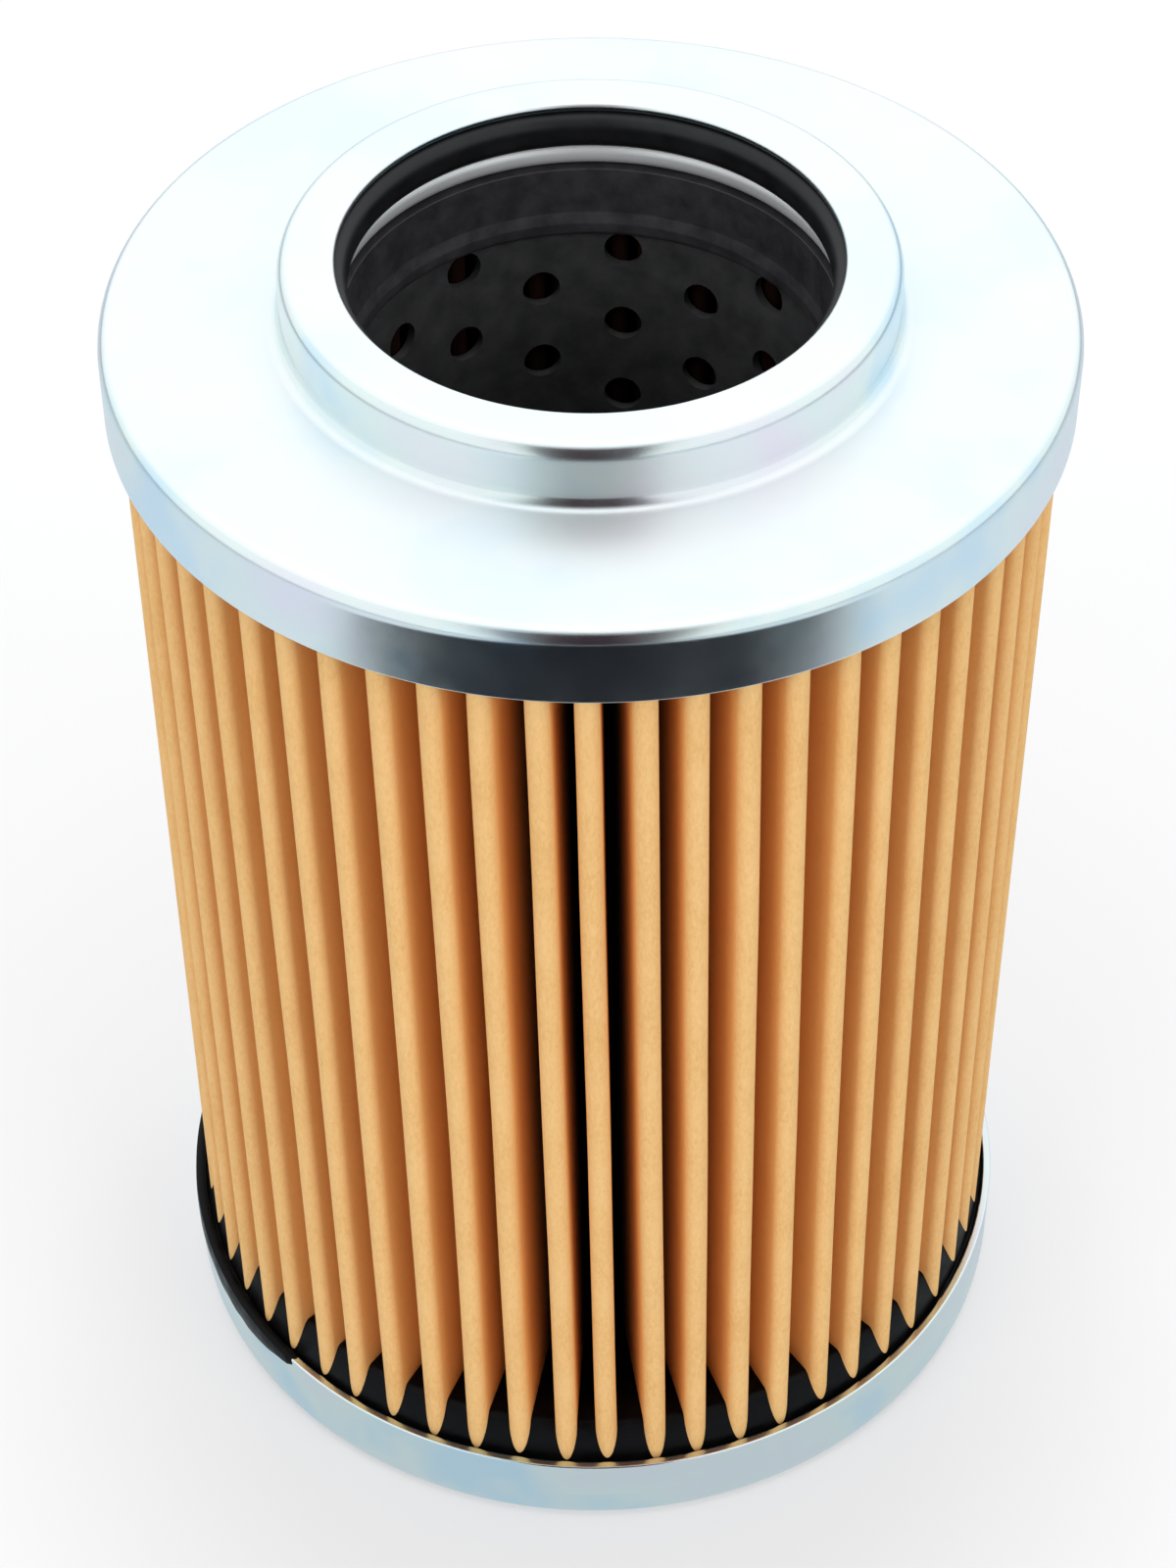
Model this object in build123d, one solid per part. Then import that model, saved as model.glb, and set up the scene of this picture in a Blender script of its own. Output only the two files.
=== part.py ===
from build123d import *
import os
from math import acos, atan2, cos, pi, sin

os.makedirs("parts", exist_ok=True)

# A pleated hydraulic filter element, standing on its closed end. Millimetres, +Z up along its
# axis, origin at the middle of the bottom face.

# Pleated paper
media_length = 109.0     # width of the paper strip, end to end along the axis
media_clearance = 0.3    # between the outer folds and the skirts of the caps
media_thickness = 0.65
pleat_count = 57
tip_bend = 1.0           # outside radius of an outer fold
root_bend = 0.85         # outside radius of an inner fold
tip_flats = 4            # a fold is creased paper, drawn as this many flats on its outside
root_flats = 3
core_clearance = 0.3     # between the inner folds and the core

# Core, rolled from perforated sheet
core_bore = 41.2
core_sheet = 0.8
hole_diameter = 3.5
hole_sides = 6           # the small punched holes are drawn six-sided, to keep the tube light
hole_columns = 18        # every other column is half a pitch lower
hole_pitch = 7.9         # along one column
hole_margin = 7.6        # from the top of the core to the middle of its first holes
hole_to_glue = 0.4       # bare metal between the last holes and the adhesive
first_column = 82.0      # where one of the higher columns stands, in degrees from +X

# End caps, pressed from zinc-plated sheet
cap_diameter = 80.0
cap_sheet = 0.8
cap_bend = 1.3           # outside radius where the flat turns into the skirt
top_skirt = 6.8
bottom_skirt = 7.8
collar_diameter = 50.4
collar_height = 5.5      # above the flat of the top cap
collar_root = 1.2        # fillet between the flat and the collar
collar_bend = 1.3        # outside radius where the collar turns into the lip
lip_bore = 41.0
lip_round = 0.3          # broken corners of the lip's edge
lip_taper = 0.05         # the sheared edge opens this much towards its underside

# Seal, and the ring that backs it
seal_bore = 39.2
seal_land = 1.0          # straight part of the sealing face, where the spigot runs
seal_corner = 0.3        # at the back of the seal
retainer_sheet = 0.7
retainer_curl = 1.1      # outside radius of the curled nose
retainer_bore = 40.9
collar_clearance = 0.1   # round the seal and the retainer
seat_gap = 0.05          # between pieces that rest on each other

# Adhesive, cast into both caps
glue_bed = 1.0           # between a cap and the ends of the paper and the core
top_fill = 5.6           # below the top cap's flat
bottom_fill = 7.3        # above the bottom face, along the rim
meniscus_height = 4.6    # how much higher it stands between the pleats
meniscus_reach = 1.8     # how far in from the rim it gets there
core_fill = 10.0         # above the bottom face, inside the core
neck_bore = 40.4         # adhesive that lines the neck
neck_depth = 7.5         # from the top cap's flat to the neck's lower edge
bead_bore = 39.7         # the narrow end of the lining, which leaves room for the spigot
bead_land = 0.8          # straight part of the bead
bead_round = 0.5
bead_taper = 1.0         # from the bead back to the full bore

# Heights that follow
media_bottom = cap_sheet + glue_bed
media_top = media_bottom + media_length
cap_underside = media_top + glue_bed
flat_height = cap_underside + cap_sheet
lip_top = flat_height + collar_height
lip_underside = lip_top - cap_sheet
curl_height = cap_underside + seat_gap + retainer_curl
seal_bottom = curl_height + retainer_curl + seat_gap
seal_top = lip_underside - seat_gap
glue_top = bottom_fill + meniscus_height

# Radii that follow
cap_radius = cap_diameter / 2
channel_radius = cap_radius - cap_sheet
media_radius = channel_radius - media_clearance
collar_radius = collar_diameter / 2
collar_inside = collar_radius - cap_sheet
core_inside = core_bore / 2
core_outside = core_inside + core_sheet
tip_centre = media_radius - tip_bend
root_centre = core_outside + core_clearance + root_bend
pleat_step = 2 * pi / pleat_count


def turned(corners, rounding):
    """Spins a closed section of (radius, height) corners about the axis of the element."""
    section = make_face(FilletPolyline(*corners, radius=rounding, close=True))
    return revolve(Plane.XZ * section, Axis.Z)


def on_circle(radius, angle):
    return Vector(radius * cos(angle), radius * sin(angle))


def leg_square():
    """Angle between a pleat's own radius and the square to its leg, which touches both folds."""
    way = on_circle(root_centre, pleat_step / 2) - on_circle(tip_centre, 0)
    bends = tip_bend + root_bend - media_thickness
    return atan2(way.Y, way.X) - acos(bends / way.length)


def fold(centre, facing, radius, sweep, flats):
    """Corners of one fold, which faces the given way and opens by sweep to either side."""
    turns = [facing + sweep * (2 * step / flats - 1) for step in range(flats + 1)]
    return [centre + on_circle(radius, turn) for turn in turns]


def paper_side(tip_radius, tip_steps, root_radius, root_steps):
    """One side of the folded strip, as a closed outline round the element."""
    corners = []
    square = leg_square()
    for pleat in range(pleat_count):
        tip = pleat * pleat_step
        root = tip + pleat_step / 2
        opening = pleat_step / 2 - square
        corners += fold(on_circle(tip_centre, tip), tip, tip_radius, square, tip_steps)
        corners += fold(on_circle(root_centre, root), root + pi, root_radius, opening, root_steps)
    return make_face(Polyline(*corners, close=True))


def make_filter_media():
    outside = paper_side(tip_bend, tip_flats, root_bend - media_thickness, 1)
    inside = paper_side(tip_bend - media_thickness, 2, root_bend, root_flats)
    return Pos(0, 0, media_bottom) * extrude(outside - inside, media_length)


def make_core_wall():
    section = Circle(core_outside) - Circle(core_inside)
    return Pos(0, 0, media_bottom) * extrude(section, media_length)


def make_core_tube(wall):
    """The wall with its staggered holes, from under the neck down to the lower adhesive."""
    punch = extrude(RegularPolygon(hole_diameter / 2, hole_sides), 2 * core_sheet, both=True)
    lowest = glue_top + hole_to_glue + hole_diameter / 2
    punches = []
    for column in range(hole_columns):
        height = media_top - hole_margin - (column % 2) * hole_pitch / 2
        turn = first_column + column * 360 / hole_columns
        while height >= lowest:
            place = Rot(0, 0, turn) * Pos(core_inside, 0, height) * Rot(0, 90, 0)
            punches.append(place * punch)
            height -= hole_pitch
    return wall - punches


def make_top_cap():
    skirt_end = flat_height - top_skirt
    outside = [
        (cap_radius, skirt_end),
        (cap_radius, flat_height),
        (collar_radius, flat_height),
        (collar_radius, lip_top),
        (lip_bore / 2, lip_top),
    ]
    inside = [
        (lip_bore / 2 + lip_taper, lip_underside),
        (collar_inside, lip_underside),
        (collar_inside, cap_underside),
        (channel_radius, cap_underside),
        (channel_radius, skirt_end),
    ]
    outer_bends = [0, cap_bend, collar_root, collar_bend, lip_round]
    inner_bends = [
        lip_round,
        collar_bend - cap_sheet,
        collar_root + cap_sheet,
        cap_bend - cap_sheet,
        0,
    ]
    return turned(outside + inside, outer_bends + inner_bends)


def make_bottom_cap():
    corners = [
        (0, 0),
        (cap_radius, 0),
        (cap_radius, bottom_skirt),
        (channel_radius, bottom_skirt),
        (channel_radius, cap_sheet),
        (0, cap_sheet),
    ]
    return turned(corners, [0, cap_bend, 0, 0, cap_bend - cap_sheet, 0])


def make_top_potting(embedded):
    """Adhesive in the top cap, cast round the ends of the paper and the core."""
    fill_end = flat_height - top_fill
    neck_end = flat_height - neck_depth
    land_end = neck_end + bead_round + bead_land
    corners = [
        (channel_radius, fill_end),
        (channel_radius, cap_underside),
        (neck_bore / 2, cap_underside),
        (neck_bore / 2, land_end + bead_taper),
        (bead_bore / 2, land_end),
        (bead_bore / 2, neck_end),
        (core_outside, neck_end),
        (core_outside, fill_end),
    ]
    rounding = [0, cap_bend - cap_sheet, 0, 0, 0, bead_round, 0, 0]
    return turned(corners, rounding) - embedded


def make_bottom_potting(embedded):
    """Adhesive in the bottom cap. It climbs between the pleats and floors the core."""
    corners = [
        (0, cap_sheet),
        (channel_radius, cap_sheet),
        (channel_radius, bottom_fill),
        (0, bottom_fill),
    ]
    pool = turned(corners, [0, cap_bend - cap_sheet, 0, 0])
    foot = RegularPolygon(channel_radius, pleat_count)
    brow = RegularPolygon(channel_radius - meniscus_reach, pleat_count)
    climb = loft([Pos(0, 0, bottom_fill) * foot, Pos(0, 0, glue_top) * brow], ruled=True)
    well = Pos(0, 0, core_fill) * extrude(Circle(core_inside), media_length)
    return pool + climb - well - embedded


def make_seal_ring():
    corners = [
        (collar_inside - collar_clearance, seal_bottom),
        (collar_inside - collar_clearance, seal_top),
        (seal_bore / 2, seal_top),
        (seal_bore / 2, seal_bottom),
    ]
    nose = (seal_top - seal_bottom - seal_land) / 2
    return turned(corners, [seal_corner, seal_corner, nose, nose])


def make_seal_retainer():
    """A flat flange that carries the seal, with its inner edge curled under."""
    centre = (retainer_bore / 2 + retainer_curl, curl_height)
    rim = collar_inside - collar_clearance
    flange = curl_height + retainer_curl
    outer = CenterArc(centre, retainer_curl, 90, 180)
    inner = CenterArc(centre, retainer_curl - retainer_sheet, 90, 180)
    outline = [
        outer,
        Line(outer @ 1, inner @ 1),
        inner,
        Line(inner @ 0, (rim, flange - retainer_sheet)),
        Line((rim, flange - retainer_sheet), (rim, flange)),
        Line((rim, flange), outer @ 0),
    ]
    return revolve(Plane.XZ * make_face(outline), Axis.Z)


media = make_filter_media()
core_wall = make_core_wall()
pieces = {
    "top_cap": make_top_cap(),
    "seal_ring": make_seal_ring(),
    "seal_retainer": make_seal_retainer(),
    "top_potting": make_top_potting([media, core_wall]),
    "filter_media": media,
    "core_tube": make_core_tube(core_wall),
    "bottom_potting": make_bottom_potting([media, core_wall]),
    "bottom_cap": make_bottom_cap(),
}
for name, piece in pieces.items():
    export_step(piece, f"parts/{name}.step")
    print(name, len(piece.solids()), "solid", round(piece.volume), "mm3")
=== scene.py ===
import bpy
import bmesh
from math import acos, atan2, cos, pi, radians, sin, tan
from mathutils import Matrix, Vector, noise


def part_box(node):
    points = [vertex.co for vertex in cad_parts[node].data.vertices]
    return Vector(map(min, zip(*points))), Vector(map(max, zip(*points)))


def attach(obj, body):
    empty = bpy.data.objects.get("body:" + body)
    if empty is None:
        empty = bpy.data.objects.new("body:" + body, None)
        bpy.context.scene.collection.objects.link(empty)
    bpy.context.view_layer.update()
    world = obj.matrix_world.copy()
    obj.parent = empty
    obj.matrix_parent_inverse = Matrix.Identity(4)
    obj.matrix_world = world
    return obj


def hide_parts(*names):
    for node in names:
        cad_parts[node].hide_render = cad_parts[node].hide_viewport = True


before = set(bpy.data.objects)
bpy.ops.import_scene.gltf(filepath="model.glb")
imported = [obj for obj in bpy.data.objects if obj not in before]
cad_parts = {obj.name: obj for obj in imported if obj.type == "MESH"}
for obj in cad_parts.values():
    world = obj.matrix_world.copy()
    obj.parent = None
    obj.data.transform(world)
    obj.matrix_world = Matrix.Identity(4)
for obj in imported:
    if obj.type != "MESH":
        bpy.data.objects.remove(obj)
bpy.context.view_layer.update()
mm = 0.001
capSheet = 0.8  # mm, the sheet that both caps are pressed from

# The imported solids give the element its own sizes
topLow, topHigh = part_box("top_cap")
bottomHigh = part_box("bottom_cap")[1]
mediaLow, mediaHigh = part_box("filter_media")
coreLow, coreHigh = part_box("core_tube")
sealLow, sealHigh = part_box("seal_ring")
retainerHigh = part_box("seal_retainer")[1]
topGlueLow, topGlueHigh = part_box("top_potting")
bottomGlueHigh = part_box("bottom_potting")[1]


# sRGB hex to the linear values that a socket takes
def linearColour(hexCode):
    channels = [int(hexCode[i:i + 2], 16) / 255 for i in (1, 3, 5)]
    return [c / 12.92 if c < 0.04045 else ((c + 0.055) / 1.055) ** 2.4 for c in channels] + [1.0]


# An input given as a socket is linked and any other value is set. Stops are the
# (place, hex colour) marks of a colour ramp
def addNode(tree, kind, inputs=None, stops=(), **settings):
    node = tree.nodes.new(kind)
    for name, value in settings.items():
        setattr(node, name, value)
    for key, value in (inputs or {}).items():
        if isinstance(value, bpy.types.NodeSocket):
            tree.links.new(value, node.inputs[key])
        else:
            node.inputs[key].default_value = value
    if stops:
        marks = node.color_ramp.elements
        while len(marks) < len(stops):
            marks.new(0.5)
        for mark, (place, hexCode) in zip(marks, stops):
            mark.position = place
            mark.color = linearColour(hexCode)
    return node


def newMaterial(name):
    material = bpy.data.materials.new(name)
    material.use_nodes = True
    tree = material.node_tree
    tree.nodes.clear()
    return material, tree, addNode(tree, "ShaderNodeTexCoord").outputs["Object"]


# Bright zinc-plated steel: a cool, satin mirror whose clear chromate film drifts between
# blue, straw and a trace of violet. The flat faces are painted whiter than the walls and bends,
# and are rougher and less metallic: a painted highlight that keeps them white where they would
# mirror the dark collar. Lengths are in mm. The plating's grain is finer than this and is drawn
# coarser, so that it shows
zincFilm = {
    "patch": 16.0, "grain": 0.45, "grainDepth": 0.004, "smear": 6.0, "buckle": 11.0, "buckleDepth": 0.05,
    "wallTint": [(0.36, "#C9E0EC"), (0.5, "#DDE8E6"), (0.72, "#E2DFE9")], "wallRoughness": (0.2, 0.26),
    "flatHighlightTint": [(0.34, "#E1EBF0"), (0.5, "#E8EDEF"), (0.68, "#EBECEE")], "flatRoughness": 0.37,
    "flatMetal": 0.72, "flatWithin": 0.1, "wallBeyond": 0.35,
}


def makeZincPlate():
    c = zincFilm
    material, tree, spot = newMaterial("zincPlatedSteel")
    patches, grain, smear, buckle = [
        addNode(tree, "ShaderNodeTexNoise", {
            "Vector": spot, "Scale": 1 / (c[size] * mm), "Detail": detail, "Roughness": rough}).outputs["Fac"]
        for size, detail, rough in (
            ("patch", 3.0, 0.55), ("grain", 4.0, 0.6), ("smear", 4.0, 0.6), ("buckle", 1.0, 0.4))]
    # A face is flat where it lies near the level of the collar's top or of the cap's own flat
    height = addNode(tree, "ShaderNodeSeparateXYZ", {"Vector": spot})
    nearFlats = []
    for level in (topHigh.z, topGlueHigh.z + capSheet * mm):
        off = addNode(tree, "ShaderNodeMath", {0: height.outputs["Z"], 1: level}, operation="SUBTRACT")
        away = addNode(tree, "ShaderNodeMath", {0: off.outputs["Value"]}, operation="ABSOLUTE")
        nearFlats.append(addNode(tree, "ShaderNodeMapRange", {
            "Value": away.outputs["Value"],
            "From Min": c["wallBeyond"] * mm, "From Max": c["flatWithin"] * mm}))
    flat = addNode(tree, "ShaderNodeMath", {
        k: near.outputs["Result"] for k, near in enumerate(nearFlats)}, operation="MAXIMUM").outputs["Value"]
    # Painted highlight: the flat faces take the whiter tint, the walls and bends the bluer one
    flatHighlightTint = addNode(tree, "ShaderNodeValToRGB", {"Fac": patches}, stops=c["flatHighlightTint"])
    wallTint = addNode(tree, "ShaderNodeValToRGB", {"Fac": patches}, stops=c["wallTint"])
    colour = addNode(tree, "ShaderNodeMix", {
        0: flat, 6: wallTint.outputs["Color"], 7: flatHighlightTint.outputs["Color"]}, data_type="RGBA")
    satin = addNode(tree, "ShaderNodeMapRange", {
        "Value": smear, "From Min": 0.3, "From Max": 0.7,
        "To Min": c["wallRoughness"][0], "To Max": c["wallRoughness"][1]})
    rough = addNode(tree, "ShaderNodeMapRange", {
        "Value": flat, "To Min": satin.outputs["Result"], "To Max": c["flatRoughness"]})
    metal = addNode(tree, "ShaderNodeMapRange", {"Value": flat, "To Min": 1.0, "To Max": c["flatMetal"]})
    peel = addNode(tree, "ShaderNodeBump", {
        "Height": grain, "Strength": 0.2, "Distance": c["grainDepth"] * mm})
    sheet = addNode(tree, "ShaderNodeBump", {
        "Height": buckle, "Strength": 0.5, "Distance": c["buckleDepth"] * mm,
        "Normal": peel.outputs["Normal"]})
    shader = addNode(tree, "ShaderNodeBsdfPrincipled", {
        "Base Color": colour.outputs[2], "Metallic": metal.outputs["Result"],
        "Roughness": rough.outputs["Result"], "Normal": sheet.outputs["Normal"]})
    addNode(tree, "ShaderNodeOutputMaterial", {"Surface": shader.outputs["BSDF"]})
    return material


# Zinc-plated strip, curled by a tool and dulled since: a pale satin, more scattered than the
# caps, with hairline marks that run round the ring, drawn wider than real ones so that they show
stripFinish = {
    "mark": 0.25, "markDepth": 0.01, "tint": [(0.35, "#DFE1E2"), (0.65, "#F0F1F1")],
    "roughness": (0.36, 0.5), "metal": 0.45,
}


def makeRetainerPlate():
    c = stripFinish
    material, tree, spot = newMaterial("polishedZincStrip")
    across = addNode(tree, "ShaderNodeVectorMath", {0: spot, 1: (1.0, 1.0, 0.0)}, operation="MULTIPLY")
    radius = addNode(tree, "ShaderNodeVectorMath", {0: across.outputs["Vector"]}, operation="LENGTH")
    height = addNode(tree, "ShaderNodeSeparateXYZ", {"Vector": spot})
    lane = addNode(tree, "ShaderNodeCombineXYZ", {"X": radius.outputs["Value"], "Y": height.outputs["Z"]})
    marks = addNode(tree, "ShaderNodeTexNoise", {
        "Vector": lane.outputs["Vector"], "Scale": 1 / (c["mark"] * mm), "Detail": 3.0, "Roughness": 0.7})
    tint = addNode(tree, "ShaderNodeValToRGB", {"Fac": marks.outputs["Fac"]}, stops=c["tint"])
    satin = addNode(tree, "ShaderNodeMapRange", {
        "Value": marks.outputs["Fac"], "From Min": 0.3, "From Max": 0.7,
        "To Min": c["roughness"][0], "To Max": c["roughness"][1]})
    hairline = addNode(tree, "ShaderNodeBump", {
        "Height": marks.outputs["Fac"], "Strength": 0.3, "Distance": c["markDepth"] * mm})
    shader = addNode(tree, "ShaderNodeBsdfPrincipled", {
        "Base Color": tint.outputs["Color"], "Metallic": c["metal"], "Roughness": satin.outputs["Result"],
        "Normal": hairline.outputs["Normal"]})
    addNode(tree, "ShaderNodeOutputMaterial", {"Surface": shader.outputs["BSDF"]})
    return material


# The dark finishes below are built alike: broad blotches tint the surface and change its gloss,
# and a skin roughens it. Blotch and skin are (mm, detail, roughness) of a noise, depth is in mm

# Nitrile rubber, moulded: near-black and semi-matt, greyer where talc and handling dull it
rubberFinish = {
    "blotch": (3.5, 5.0, 0.65), "skin": (0.3, 3.0, 0.6), "strength": 0.35, "depth": 0.02,
    "deep": "#101011", "light": "#1B1B1D", "roughness": (0.36, 0.52), "ior": 1.52, "sheen": 0.3,
}

# Two-part polyurethane adhesive under the upper cap: painted a dark grey, lighter than the
# adhesive's own near-black, which lifts the shade in the neck of the bore. It is glossy in the
# hollows and skinned over with a slightly wrinkled, duller surface where it climbed the paper
lightenedPottingFinish = {
    "blotch": (2.2, 4.0, 0.6), "skin": (2.2, 4.0, 0.6), "strength": 0.6, "depth": 0.12,
    "deep": "#2A292B", "light": "#3A393B", "roughness": (0.3, 0.55), "ior": 1.5, "sheen": 0.4,
}

# The same adhesive in the lower cap, poured deeper, in its own near-black, with little of a sheen
floodedFinish = dict(lightenedPottingFinish, deep="#040405", light="#0B0A0C", sheen=0.1)

# Black phosphated and oiled steel with a low oily sheen, greyer in blotches. Its dark grey is
# painted lighter than the coat's black, which lifts the shade inside the bore.
# The crystals of the coat are drawn coarser than they are, so that they show
coreFinish = {
    "blotch": (2.5, 5.0, 0.65), "skin": (0.25, 2.0, 0.6), "strength": 0.3, "depth": 0.015,
    "deep": "#363637", "light": "#4A4A4B", "roughness": (0.34, 0.5), "ior": 1.5, "sheen": 0.5,
}


def makeDarkFinish(name, c):
    material, tree, spot = newMaterial(name)
    blotch, skin = [
        addNode(tree, "ShaderNodeTexNoise", {
            "Vector": spot, "Scale": 1 / (size * mm), "Detail": detail, "Roughness": rough}).outputs["Fac"]
        for size, detail, rough in (c["blotch"], c["skin"])]
    tint = addNode(tree, "ShaderNodeValToRGB", {"Fac": blotch}, stops=[(0.35, c["deep"]), (0.7, c["light"])])
    satin = addNode(tree, "ShaderNodeMapRange", {
        "Value": blotch, "From Min": 0.3, "From Max": 0.7,
        "To Min": c["roughness"][0], "To Max": c["roughness"][1]})
    bump = addNode(tree, "ShaderNodeBump", {
        "Height": skin, "Strength": c["strength"], "Distance": c["depth"] * mm})
    shader = addNode(tree, "ShaderNodeBsdfPrincipled", {
        "Base Color": tint.outputs["Color"], "Roughness": satin.outputs["Result"], "IOR": c["ior"],
        "Specular IOR Level": c["sheen"], "Normal": bump.outputs["Normal"]})
    addNode(tree, "ShaderNodeOutputMaterial", {"Surface": shader.outputs["BSDF"]})
    return material


# Phenolic-cured cellulose filter paper: warm tan and fully matt, with a felt of fibres a few
# tenths of a millimetre long and slow cloudiness. Lengths and radii are in mm
paperFinish = {
    "fibre": 0.28, "feltDepth": 0.05, "cloud": 9.0, "cloudShare": 0.35,
    "tint": [(0.36, "#DFAC6B"), (0.5, "#E8B878"), (0.64, "#EDBF82")],
    # Painted shade: the amber of the flanks and the dark brown towards the core
    "flankShadeTint": "#F0A24E", "flankShadeShare": 0.62, "crest": 38.8, "flank": 37.3,
    "coreShadeTint": "#1E0D05", "coreShadeTo": 24.0, "coreShadeFrom": 35.0,
}


def makeFilterPaper():
    c = paperFinish
    material, tree, spot = newMaterial("curedCelluloseFilterPaper")
    lay = addNode(tree, "ShaderNodeMapping", {"Vector": spot, "Scale": (1.0, 1.0, 0.35)})
    fibres = addNode(tree, "ShaderNodeTexNoise", {
        "Vector": lay.outputs["Vector"], "Scale": 1 / (c["fibre"] * mm), "Detail": 5.0,
        "Roughness": 0.7, "Distortion": 0.6})
    clouds = addNode(tree, "ShaderNodeTexNoise", {
        "Vector": spot, "Scale": 1 / (c["cloud"] * mm), "Detail": 3.0, "Roughness": 0.6})
    mixed = addNode(tree, "ShaderNodeMix", {
        0: c["cloudShare"], 2: fibres.outputs["Fac"], 3: clouds.outputs["Fac"]}, data_type="FLOAT")
    tint = addNode(tree, "ShaderNodeValToRGB", {"Fac": mixed.outputs[0]}, stops=c["tint"])
    # Painted shade: the flanks are painted more amber than the crests,
    # and the paper is painted darker towards the core, where the folds lie in shade
    across = addNode(tree, "ShaderNodeVectorMath", {0: spot, 1: (1.0, 1.0, 0.0)}, operation="MULTIPLY")
    radius = addNode(tree, "ShaderNodeVectorMath", {0: across.outputs["Vector"]}, operation="LENGTH")
    flank = addNode(tree, "ShaderNodeMapRange", {
        "Value": radius.outputs["Value"], "From Min": c["crest"] * mm, "From Max": c["flank"] * mm,
        "To Max": c["flankShadeShare"]}, interpolation_type="SMOOTHSTEP")
    deep = addNode(tree, "ShaderNodeMapRange", {
        "Value": radius.outputs["Value"], "From Min": c["coreShadeFrom"] * mm,
        "From Max": c["coreShadeTo"] * mm}, interpolation_type="SMOOTHSTEP")
    flankShaded = addNode(tree, "ShaderNodeMix", {
        0: flank.outputs["Result"], 6: tint.outputs["Color"], 7: linearColour(c["flankShadeTint"])}, data_type="RGBA")
    colour = addNode(tree, "ShaderNodeMix", {
        0: deep.outputs["Result"], 6: flankShaded.outputs[2], 7: linearColour(c["coreShadeTint"])}, data_type="RGBA")
    felt = addNode(tree, "ShaderNodeBump", {
        "Height": fibres.outputs["Fac"], "Strength": 0.45, "Distance": c["feltDepth"] * mm})
    shader = addNode(tree, "ShaderNodeBsdfPrincipled", {
        "Base Color": colour.outputs[2], "Roughness": 0.92, "IOR": 1.45,
        "Specular IOR Level": 0.25, "Normal": felt.outputs["Normal"]})
    addNode(tree, "ShaderNodeOutputMaterial", {"Surface": shader.outputs["BSDF"]})
    return material


zincPlatedSteel = makeZincPlate()
polishedZincStrip = makeRetainerPlate()
mouldedNitrileRubber = makeDarkFinish("mouldedNitrileRubber", rubberFinish)
lightenedNeckPotting = makeDarkFinish("polyurethanePottingPaintedLighter", lightenedPottingFinish)
floodedPotting = makeDarkFinish("floodedPolyurethanePotting", floodedFinish)
filterPaper = makeFilterPaper()
blackPhosphatedSteel = makeDarkFinish("blackPhosphatedSteel", coreFinish)
print("materials ready:", len(bpy.data.materials))


def roundedOutline(corners, arcSteps=8, hold=0.06):
    # Corners are (radius, height, rounding) in millimetres. Long straights get a point close to
    # each end, so that a flat shades flat beside a bend
    bends = []
    for i, (radius, height, rounding) in enumerate(corners):
        here = Vector((radius, height))
        if not rounding:
            bends.append(here)
            continue
        back = (Vector(corners[i - 1][:2]) - here).normalized()
        on = (Vector(corners[(i + 1) % len(corners)][:2]) - here).normalized()
        half = back.angle(on) / 2
        centre = here + (back + on).normalized() * rounding / sin(half)
        start = here + back * rounding / tan(half) - centre
        stop = here + on * rounding / tan(half) - centre
        first = atan2(start.y, start.x)
        sweep = (atan2(stop.y, stop.x) - first + pi) % (2 * pi) - pi
        for step in range(arcSteps + 1):
            turn = first + sweep * step / arcSteps
            bends.append(centre + Vector((cos(turn), sin(turn))) * rounding)
    outline = []
    for here, after in zip(bends, bends[1:] + bends[:1]):
        way = after - here
        outline.append(here)
        if way.length > 5 * hold and max(here.x, after.x) > 0:
            outline += [here + way.normalized() * hold, after - way.normalized() * hold]
    return outline


def shadeSmooth(data, sharpAngle=40):
    data.shade_smooth()
    data.set_sharp_from_angle(angle=radians(sharpAngle))


def meshObject(name, form, material):
    data = bpy.data.meshes.new(name)
    form.to_mesh(data)
    form.free()
    shadeSmooth(data)
    piece = bpy.data.objects.new(name, data)
    bpy.context.scene.collection.objects.link(piece)
    data.materials.append(material)
    return piece


def latheForm(outline, steps, relief=None):
    # Spins a closed outline round the axis; relief may move point k of it by the angle
    form = bmesh.new()
    rings = []
    for k, point in enumerate(outline):
        if point.x < 1e-6:  # on the axis, where the whole ring is one point
            rings.append([form.verts.new((0, 0, point.y * mm))] * steps)
            continue
        ring = []
        for step in range(steps):
            turn = 2 * pi * step / steps
            radius, height = relief(k, point, turn) if relief else point
            ring.append(form.verts.new((radius * mm * cos(turn), radius * mm * sin(turn), height * mm)))
        rings.append(ring)
    for ring, following in zip(rings, rings[1:] + rings[:1]):
        for step in range(steps):
            after = (step + 1) % steps
            corners = list(dict.fromkeys([ring[step], ring[after], following[after], following[step]]))
            if len(corners) > 2:
                form.faces.new(corners)
    bmesh.ops.recalc_face_normals(form, faces=form.faces)
    return form


def settle(piece, slotName, *nodes):
    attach(piece, "root")
    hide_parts(*nodes)
    print(piece.name, "faces:", len(piece.data.polygons))
    return piece


# Caps, pressed from one sheet, in mm. Their drawn skirts are a few hundredths out of round,
# which fades out between the two radii of "trueTo" and "swellFrom"
pressedCaps = {
    "bend": 1.3, "rimRound": 0.18, "steps": 240,
    "collarRadius": 25.2, "collarRoot": 1.2, "collarBend": 1.3,
    "lipRadius": 20.5, "lipRound": 0.33, "lipTaper": 0.05,
    "outOfRound": 0.05, "swells": 1.3, "swellRise": 0.05, "trueTo": 26, "swellFrom": 38,
}


def pressedRelief(k, point, turn):
    c = pressedCaps
    radius, height = point
    swell = noise.noise(Vector((cos(turn) * c["swells"], sin(turn) * c["swells"], height * c["swellRise"])))
    share = min(max((radius - c["trueTo"]) / (c["swellFrom"] - c["trueTo"]), 0), 1)
    return radius - c["outOfRound"] * share * (0.5 + swell), height


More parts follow.
